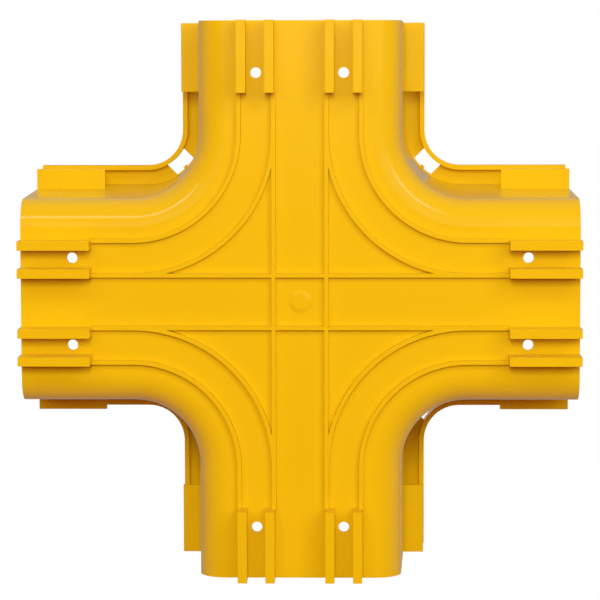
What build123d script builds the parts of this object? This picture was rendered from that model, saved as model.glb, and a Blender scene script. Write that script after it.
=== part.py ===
from build123d import *
import math
import os

# A four-way cross for an overhead fibre raceway, moulded in one piece of yellow plastic.
# Four open troughs meet at right angles. Z is up with the open side on top, the middle of
# the cross is on the Z axis, and the feet of the underside rails stand on Z = 0.

# Trough, all sizes in millimetres
overall_length = 304.8  # from arm end to arm end, along X and along Y
trough_height = 118.0  # from the underside of the floor to the top of the rim
base_width = 110.0  # across an arm at the floor, before its lower edges are rounded
floor_thickness = 2.8
wall_thickness = 2.6
wall_lean = 2.0  # degrees that a wall leans outwards on its way up
lower_edge_radius = 15.0  # outside radius where a wall turns into the floor

# Rim that runs along every wall, with its edge turned down into a lip
rim_overhang = 11.3  # from the wall's outer face to the lip's outer face
rim_thickness = 2.5
rim_edge_bevel = 0.6
lip_depth = 10.8  # from the top of the rim to the lower edge of the lip
lip_thickness = 2.7
lip_root_radius = 1.4
lip_corner_radius = 20.7  # outside radius of the lip in an inner corner of the cross

# Window through the rim in each inner corner, with a catch for the clip of a cover
window_width = 13.6
window_ledge = 0.9  # rim left standing between the wall and the window
catch_width = 2.3
catch_reach = 1.1  # into the window, from the edge of the ledge
catch_ramp = 5.0  # height of the slope under the catch, from the middle of the wall

# The stretch at each arm end that a coupler slides over, and what it grips
coupling_length = 39.0
flange_drop = 38.6  # from the underside of a side flange to the top of the rim
flange_thickness = 2.5
flange_setback = 1.0  # a flange's outer edge lies this far inside the lip's outer face
flange_edge_radius = 0.6
rail_height = 16.9
rail_width = 5.0
rail_gap = 10.1  # clear width between the two rails of a pair

# Screw holes, one between the rails of each pair
hole_diameter = 5.8
hole_spacing = 47.6  # between the two holes of an arm
hole_setback = 28.2  # from the arm end to the holes

# Stiffening ribs under the floor
rib_width = 2.6
rib_height = 3.5
rib_taper = 0.2  # a rib narrows by this much on each side towards its foot
rib_past_rail = 0.7  # a rib's side stands this far past the side of the rail it runs into
rib_stagger = 0.1  # between the straight rib's middle line and the curved rib's, as they merge

# Shallow round boss under the middle of the floor
boss_diameter = 13.0
boss_face_diameter = 8.2
boss_height = 0.8

# Sizes that follow from the ones above: heights
floor_underside = rail_height
floor_middle = floor_underside + floor_thickness / 2
floor_top = floor_underside + floor_thickness
rim_top = floor_underside + trough_height
rim_underside = rim_top - rim_thickness
rim_middle = rim_top - rim_thickness / 2
lip_bottom = rim_top - lip_depth
flange_bottom = rim_top - flange_drop
flange_top = flange_bottom + flange_thickness

# Distances from the middle line of an arm
lean = math.radians(wall_lean)
wall_foot = base_width / 2


def wall_at(height):
    """Distance from an arm's middle line to the outer face of its wall at this height."""
    return wall_foot + (height - floor_underside) * math.tan(lean)


wall_level_width = wall_thickness / math.cos(lean)
inner_edge_radius = lower_edge_radius - max(floor_thickness, wall_thickness)
edge_start = wall_foot - lower_edge_radius * (1 / math.cos(lean) - math.tan(lean))
floor_reach = edge_start - floor_thickness
rim_reach = wall_at(rim_underside) + rim_overhang
lip_reach = rim_reach - lip_thickness
flange_reach = rim_reach - flange_setback
corner_centre = rim_reach + lip_corner_radius
hole_offset = hole_spacing / 2
rail_offset = (rail_gap + rail_width) / 2
rib_offset = rail_gap / 2 + rail_width + rib_past_rail - rib_width / 2
inner_rib = hole_offset - rib_offset
outer_rib = hole_offset + rib_offset
curved_rib = inner_rib + rib_stagger

# Distances along an arm from the middle of the cross
half_length = overall_length / 2
coupling_start = half_length - coupling_length
hole_reach = half_length - hole_setback
rib_end = coupling_start + rib_width / 2

# Radii about the centre of an inner corner
wall_turn = corner_centre - wall_at(rim_underside)
lip_turn = corner_centre - lip_reach
window_turn = wall_turn - window_ledge
catch_turn = window_turn - catch_reach


def across_arm(distance):
    """Plane that cuts the arm on X at this distance: x runs across the arm and y runs up."""
    return Plane(origin=(distance, 0, 0), x_dir=(0, 1, 0), z_dir=(1, 0, 0))


def corner_path(offset, reach):
    """A wire beside the arm on X, round the inner corner and out beside the arm on Y."""
    with BuildLine() as path:
        Line((reach, offset), (corner_centre, offset))
        CenterArc((corner_centre, corner_centre), corner_centre - offset, 270, -90)
        Line((offset, corner_centre), (offset, reach))
    return path.wires()[0]


def rib_section(offset):
    """Closed line round a rib: full width inside the floor and narrower at its foot."""
    foot = rib_width / 2 - rib_taper
    return Polyline(
        (offset - rib_width / 2, floor_middle),
        (offset - rib_width / 2, floor_underside),
        (offset - foot, floor_underside - rib_height),
        (offset + foot, floor_underside - rib_height),
        (offset + rib_width / 2, floor_underside),
        (offset + rib_width / 2, floor_middle),
        close=True,
    )


# One quarter of the cross: all that belongs between the arm on +X and the arm on +Y
diagonal = Plane(origin=(0, 0, 0), x_dir=(1, 1, 0), z_dir=(1, -1, 0))
with BuildPart() as quarter:
    # Side flange of the arm on X, a level shelf that stands out from the wall
    with BuildSketch(across_arm(half_length)) as flange_section:
        with BuildLine():
            Polyline(
                (wall_at(flange_bottom) - wall_thickness / 2, flange_bottom),
                (flange_reach, flange_bottom),
                (flange_reach, flange_top),
                (wall_at(flange_bottom) - wall_thickness / 2, flange_top),
                close=True,
            )
        make_face()
        fillet(flange_section.vertices().sort_by(Axis.X)[-2:], flange_edge_radius)
    extrude(amount=-coupling_length)

    # Pair of rails under that arm, standing on Z = 0
    with BuildSketch(across_arm(half_length)):
        with Locations(
            (hole_offset - rail_offset, floor_middle / 2),
            (hole_offset + rail_offset, floor_middle / 2),
        ):
            Rectangle(rail_width, floor_middle)
    extrude(amount=-coupling_length)

    # Straight rib from the middle of the cross to the inner rail
    with BuildSketch(across_arm(rib_end)):
        with BuildLine():
            rib_section(inner_rib)
        make_face()
    extrude(amount=-rib_end)

    # The same flange, rails and rib on the arm along Y
    mirror(about=diagonal)

    # Wall with its rounded lower edge, rim and lip, swept round the inner corner
    with BuildSketch(across_arm(half_length)) as wall_section:
        with BuildLine():
            Polyline(
                (floor_reach, floor_underside),
                (wall_foot, floor_underside),
                (wall_at(rim_underside), rim_underside),
                (lip_reach, rim_underside),
                (lip_reach, lip_bottom),
                (rim_reach, lip_bottom),
                (rim_reach, rim_top),
                (wall_at(rim_top) - wall_level_width, rim_top),
                (wall_at(floor_top) - wall_level_width, floor_top),
                (floor_reach, floor_top),
                close=True,
            )
        make_face()
        for across, height, radius in (
            (wall_foot, floor_underside, lower_edge_radius),
            (wall_at(floor_top) - wall_level_width, floor_top, inner_edge_radius),
            (lip_reach, rim_underside, lip_root_radius),
        ):
            corner = wall_section.vertices().sort_by_distance((across, height))[0]
            fillet(corner, radius)
        for across in (rim_reach, wall_at(rim_top) - wall_level_width):
            corner = wall_section.vertices().sort_by_distance((across, rim_top))[0]
            chamfer(corner, rim_edge_bevel)
    sweep(path=corner_path(wall_foot, half_length))

    # Two ribs that turn the corner from one arm's rails to the other's: the outer one follows
    # the wall, and the other leaves one straight rib and runs out into the next
    for offset in (outer_rib, curved_rib):
        with BuildSketch(across_arm(rib_end)):
            with BuildLine():
                rib_section(offset)
            make_face()
        sweep(path=corner_path(offset, rib_end))

    # Window through the rim, from the ledge beside the wall to the lip, with parallel sides
    window_plane = Plane(
        origin=(corner_centre, corner_centre, rim_underside - lip_root_radius),
        x_dir=(-1, -1, 0),
        z_dir=(0, 0, 1),
    )
    with BuildSketch(window_plane):
        Circle(window_turn)
        Circle(lip_turn, mode=Mode.SUBTRACT)
        with Locations((window_turn / 2, 0)):
            Rectangle(window_turn, window_width, mode=Mode.INTERSECT)
    extrude(amount=rim_thickness + lip_root_radius, mode=Mode.SUBTRACT)

    # Ramped catch on the wall, which stands out into the middle of the window
    catch_plane = Plane(
        origin=(corner_centre, corner_centre, 0), x_dir=(-1, -1, 0), z_dir=(-1, 1, 0)
    )
    with BuildSketch(catch_plane):
        with BuildLine():
            Polyline(
                (wall_turn + wall_thickness / 2, rim_underside - catch_ramp),
                (catch_turn, rim_underside),
                (catch_turn, rim_middle),
                (wall_turn + wall_thickness / 2, rim_middle),
                close=True,
            )
        make_face()
    extrude(amount=catch_width / 2, both=True)

# The whole fitting: the floor, the four quarters, the middle boss and the screw holes
with BuildPart() as cross_fitting:
    with BuildSketch(Plane.XY.offset(floor_underside)) as floor_outline:
        Rectangle(overall_length, 2 * floor_reach)
        Rectangle(2 * floor_reach, overall_length)
        inner_corners = floor_outline.vertices().group_by(SortBy.DISTANCE)[0]
        fillet(inner_corners, corner_centre - floor_reach)
    extrude(amount=floor_thickness)

    with PolarLocations(0, 4):
        add(quarter.part)

    with Locations((0, 0, floor_underside - boss_height / 2)):
        Cone(boss_face_diameter / 2, boss_diameter / 2, boss_height)

    with Locations((0, 0, floor_top)):
        with GridLocations(2 * hole_reach, hole_spacing, 2, 2):
            Hole(hole_diameter / 2)
        with GridLocations(hole_spacing, 2 * hole_reach, 2, 2):
            Hole(hole_diameter / 2)

cross_fitting.part.label = "cross_fitting"

os.makedirs("parts", exist_ok=True)
export_step(cross_fitting.part, "parts/cross_fitting.step")
print("solids", len(cross_fitting.part.solids()), "volume", round(cross_fitting.part.volume))
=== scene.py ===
"""A four-way cross for an overhead fibre raceway, moulded in one piece of yellow plastic.

Everything is in metres, in the frame of the CAD model: the cross stands open side up with
the feet of its rails on Z = 0, and the camera looks up at its underside, as the photograph
does. Image right is +X and image down is +Y.
"""

import math

import bpy
import numpy as np
from mathutils import Matrix, Vector

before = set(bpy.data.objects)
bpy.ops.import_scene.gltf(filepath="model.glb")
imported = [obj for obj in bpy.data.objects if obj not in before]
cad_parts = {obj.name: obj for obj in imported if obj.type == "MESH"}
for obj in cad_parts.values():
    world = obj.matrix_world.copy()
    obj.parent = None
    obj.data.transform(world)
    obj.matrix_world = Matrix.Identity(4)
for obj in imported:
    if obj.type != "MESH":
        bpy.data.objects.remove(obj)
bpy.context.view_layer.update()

# The fitting: one injection moulding in yellow plastic, coloured all through. The mould is
# polished, so the skin is a smooth satin gloss that hardly varies.
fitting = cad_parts["cross_fitting"]
deep_yellow = (0.81, 0.525, 0.003, 1)
light_yellow = (0.82, 0.540, 0.004, 1)
smoothest = 0.17
roughest = 0.20
plastic_ior = 1.46


def add_node(tree, kind, **settings):
    """A node of this kind in the tree, with these inputs and properties set by name."""
    node = tree.nodes.new(kind)
    for name, value in settings.items():
        label = name.replace("_", " ")
        if label in node.inputs:
            node.inputs[label].default_value = value
        else:
            setattr(node, name, value)
    return node


def yellow_plastic():
    """Solid yellow plastic, with a slow drift of shade and a finer one of gloss."""
    material = bpy.data.materials.new("yellow_plastic_moulded")
    material.use_nodes = True
    tree = material.node_tree
    shader = tree.nodes["Principled BSDF"]
    place = add_node(tree, "ShaderNodeTexCoord")

    drift = add_node(tree, "ShaderNodeTexNoise", Scale=14, Detail=3, Roughness=0.5)
    shade = add_node(tree, "ShaderNodeMix", data_type="RGBA")
    shade.inputs["A"].default_value = deep_yellow
    shade.inputs["B"].default_value = light_yellow
    tree.links.new(place.outputs["Object"], drift.inputs["Vector"])
    tree.links.new(drift.outputs["Fac"], shade.inputs["Factor"])
    tree.links.new(shade.outputs["Result"], shader.inputs["Base Color"])

    sheen = add_node(tree, "ShaderNodeTexNoise", Scale=60, Detail=4, Roughness=0.6)
    gloss = add_node(tree, "ShaderNodeMapRange", To_Min=smoothest, To_Max=roughest)
    tree.links.new(place.outputs["Object"], sheen.inputs["Vector"])
    tree.links.new(sheen.outputs["Fac"], gloss.inputs["Value"])
    tree.links.new(gloss.outputs["Result"], shader.inputs["Roughness"])

    shader.inputs["IOR"].default_value = plastic_ior
    return material


fitting.data.materials.clear()
fitting.data.materials.append(yellow_plastic())

# The floor, not part of the object: pale and matt. It is there only for a camera above it,
# fades out before its edge, and lets a camera below it see the underside.
floor_white = (0.86, 0.86, 0.86, 1)
floor_radius = 1.5
floor_inner_radius = 0.01
floor_fade_from = 0.7
floor_fade_to = 1.455
floor_drop = 0.0002


def pale_floor():
    """Matt near-white, clear from below and fading to clear between two radii."""
    material = bpy.data.materials.new("pale_floor")
    material.use_nodes = True
    tree = material.node_tree
    tree.nodes.clear()
    place = add_node(tree, "ShaderNodeTexCoord")
    distance = add_node(tree, "ShaderNodeVectorMath", operation="LENGTH")
    fade = add_node(
        tree, "ShaderNodeMapRange", interpolation_type="SMOOTHSTEP",
        From_Min=floor_fade_from, From_Max=floor_fade_to,
    )
    side = add_node(tree, "ShaderNodeNewGeometry")
    clear_share = add_node(tree, "ShaderNodeMath", operation="MAXIMUM")
    matt = add_node(tree, "ShaderNodeBsdfDiffuse", Color=floor_white)
    clear = add_node(tree, "ShaderNodeBsdfTransparent")
    mix = add_node(tree, "ShaderNodeMixShader")
    out = add_node(tree, "ShaderNodeOutputMaterial")
    tree.links.new(place.outputs["Object"], distance.inputs[0])
    tree.links.new(distance.outputs["Value"], fade.inputs["Value"])
    tree.links.new(fade.outputs["Result"], clear_share.inputs[0])
    tree.links.new(side.outputs["Backfacing"], clear_share.inputs[1])
    tree.links.new(clear_share.outputs["Value"], mix.inputs["Fac"])
    tree.links.new(matt.outputs["BSDF"], mix.inputs[1])
    tree.links.new(clear.outputs["BSDF"], mix.inputs[2])
    tree.links.new(mix.outputs["Shader"], out.inputs["Surface"])
    return material


def floor_disc(rings=6, spokes=64):
    """Mesh of a disc: radius grows evenly from ring to ring and the angle from spoke to spoke."""
    radius, angle = np.meshgrid(
        np.linspace(floor_inner_radius, floor_radius, rings),
        np.linspace(0, 2 * np.pi, spokes, endpoint=False),
        indexing="ij",
    )
    level = np.full_like(radius, -floor_drop)
    points = np.stack([radius * np.cos(angle), radius * np.sin(angle), level], -1)
    index = np.arange(rings * spokes).reshape(rings, spokes)
    nxt = np.roll(index, -1, axis=1)
    quads = np.stack([index[:-1], index[1:], nxt[1:], nxt[:-1]], -1).reshape(-1, 4)
    middle = index[0][None, :]
    mesh = bpy.data.meshes.new("floor")
    mesh.from_pydata(points.reshape(-1, 3), [], quads.tolist() + middle.tolist())
    return mesh


floor = bpy.data.objects.new("floor", floor_disc())
floor.data.materials.append(pale_floor())
bpy.context.scene.collection.objects.link(floor)
floor.visible_diffuse = False
floor.visible_glossy = False
floor.visible_transmission = False
floor.visible_shadow = False

# The camera of the photograph: below the cross, looking almost straight up at it through a
# long lens, and tilted a few degrees to the side of the arm that points up in the image.
photo_width = 600
metres_per_pixel = 0.0005446
lens_in_pixels = 2632
floor_underside = 0.0169
tilt = 0.0865
swing = 0.0212
aim = Vector((0, -0.0008, floor_underside))

camera_data = bpy.data.cameras.new("camera")
camera_data.sensor_width = 36
camera_data.lens = camera_data.sensor_width * lens_in_pixels / photo_width
camera_data.clip_end = 20
camera = bpy.data.objects.new("camera", camera_data)
turned = Matrix.Rotation(-tilt, 4, "X") @ Matrix.Rotation(-swing, 4, "Y")
sight_line = turned @ Vector((0, 0, 1))
place = Matrix.Translation(aim - sight_line * lens_in_pixels * metres_per_pixel)
camera.matrix_world = place @ turned @ Matrix.Rotation(math.pi, 4, "X")
bpy.context.scene.collection.objects.link(camera)
bpy.context.scene.camera = camera

# The lamps. Three soft boxes towards the top of the image, the widest of them reaching to the
# right, give the photograph its light, and a thin strip on either side draws the pale lines
# round the upper corners. Two more above the cross light its open side for the other views.


def soft_box(name, direction, distance, width, height, level, along=(1, 0, 0), in_gloss=False):
    """An oblong lamp that faces the cross and lights a surface that faces it to this level.

    Its width runs along the given line. A lamp of P watts lights a facing surface at a distance
    d to the level P / (pi * d)^2, where 1 shows a colour as it is written.
    """
    data = bpy.data.lights.new(name, "AREA")
    data.shape = "RECTANGLE"
    data.size = width
    data.size_y = height
    data.energy = level * (math.pi * distance) ** 2
    lamp = bpy.data.objects.new(name, data)
    towards = Vector(direction).normalized()
    lamp.location = Vector((0, 0, floor_underside)) + towards * distance
    upright = towards.cross(Vector(along)).normalized()
    axes = Matrix((upright.cross(towards), upright, towards)).transposed()
    lamp.rotation_euler = axes.to_euler()
    lamp.visible_glossy = in_gloss
    bpy.context.scene.collection.objects.link(lamp)


soft_box("key_below", (0, -0.23, -1), 1.6, 0.14, 0.46, 0.42)
soft_box("wide_below", (0.17, -0.24, -1), 1.6, 2.1, 0.46, 0.42)
soft_box("high_below", (0.45, -0.75, -1), 1.6, 1.0, 0.5, 0.10)
soft_box(
    "strip_left", (-0.44, -0.80, -1), 1.65, 1.15, 0.05, 0.11, along=(-0.93, 0.38, 0), in_gloss=True
)
soft_box(
    "strip_right", (0.72, -0.67, -1), 1.65, 0.80, 0.05, 0.09, along=(0.7, 0.7, 0), in_gloss=True
)
soft_box("front_above", (-0.5, -0.7, 1), 1.6, 1.0, 1.0, 0.30)
soft_box("back_above", (0.6, 0.6, 1.1), 1.8, 1.0, 1.0, 0.15)

# The surroundings: white to the camera. For the colour they are white from the sides up, as
# over a white table, and a dim red below, as the photograph's shadows are. In the gloss they
# are bright from the sides up and dim behind the photographer.
white = (1, 1, 1, 1)
sky = (0.80, 0.80, 0.80, 1)
fill_below = (0.23, 0.008, 0.002, 1)
gloss_level = 0.36
gloss_behind = 0.05

world = bpy.data.worlds.new("studio")
world.use_nodes = True
bpy.context.scene.world = world
tree = world.node_tree
tree.nodes.clear()
ray = add_node(tree, "ShaderNodeLightPath")
heading = add_node(tree, "ShaderNodeTexCoord")
split = add_node(tree, "ShaderNodeSeparateXYZ")
gloss = add_node(
    tree, "ShaderNodeMapRange", From_Min=-0.8, From_Max=-0.1,
    To_Min=gloss_behind, To_Max=gloss_level,
)
mirrored = add_node(tree, "ShaderNodeMath", operation="MAXIMUM")
upward = add_node(tree, "ShaderNodeMapRange", From_Min=-0.1, From_Max=0.2)
shade = add_node(tree, "ShaderNodeMix", data_type="RGBA")
shade.inputs["A"].default_value = fill_below
shade.inputs["B"].default_value = sky
fill = add_node(tree, "ShaderNodeBackground")
seen_in_gloss = add_node(tree, "ShaderNodeBackground", Color=white)
backdrop = add_node(tree, "ShaderNodeBackground", Color=white)
fill_or_gloss = add_node(tree, "ShaderNodeMixShader")
all_rays = add_node(tree, "ShaderNodeMixShader")
out = add_node(tree, "ShaderNodeOutputWorld")
tree.links.new(heading.outputs["Generated"], split.inputs["Vector"])
tree.links.new(split.outputs["Z"], upward.inputs["Value"])
tree.links.new(upward.outputs["Result"], shade.inputs["Factor"])
tree.links.new(shade.outputs["Result"], fill.inputs["Color"])
tree.links.new(split.outputs["Z"], gloss.inputs["Value"])
tree.links.new(gloss.outputs["Result"], seen_in_gloss.inputs["Strength"])
tree.links.new(ray.outputs["Is Glossy Ray"], mirrored.inputs[0])
tree.links.new(ray.outputs["Is Transmission Ray"], mirrored.inputs[1])
tree.links.new(mirrored.outputs["Value"], fill_or_gloss.inputs["Fac"])
tree.links.new(fill.outputs["Background"], fill_or_gloss.inputs[1])
tree.links.new(seen_in_gloss.outputs["Background"], fill_or_gloss.inputs[2])
tree.links.new(ray.outputs["Is Camera Ray"], all_rays.inputs["Fac"])
tree.links.new(fill_or_gloss.outputs["Shader"], all_rays.inputs[1])
tree.links.new(backdrop.outputs["Background"], all_rays.inputs[2])
tree.links.new(all_rays.outputs["Shader"], out.inputs["Surface"])

bpy.context.scene.view_settings.view_transform = "Standard"
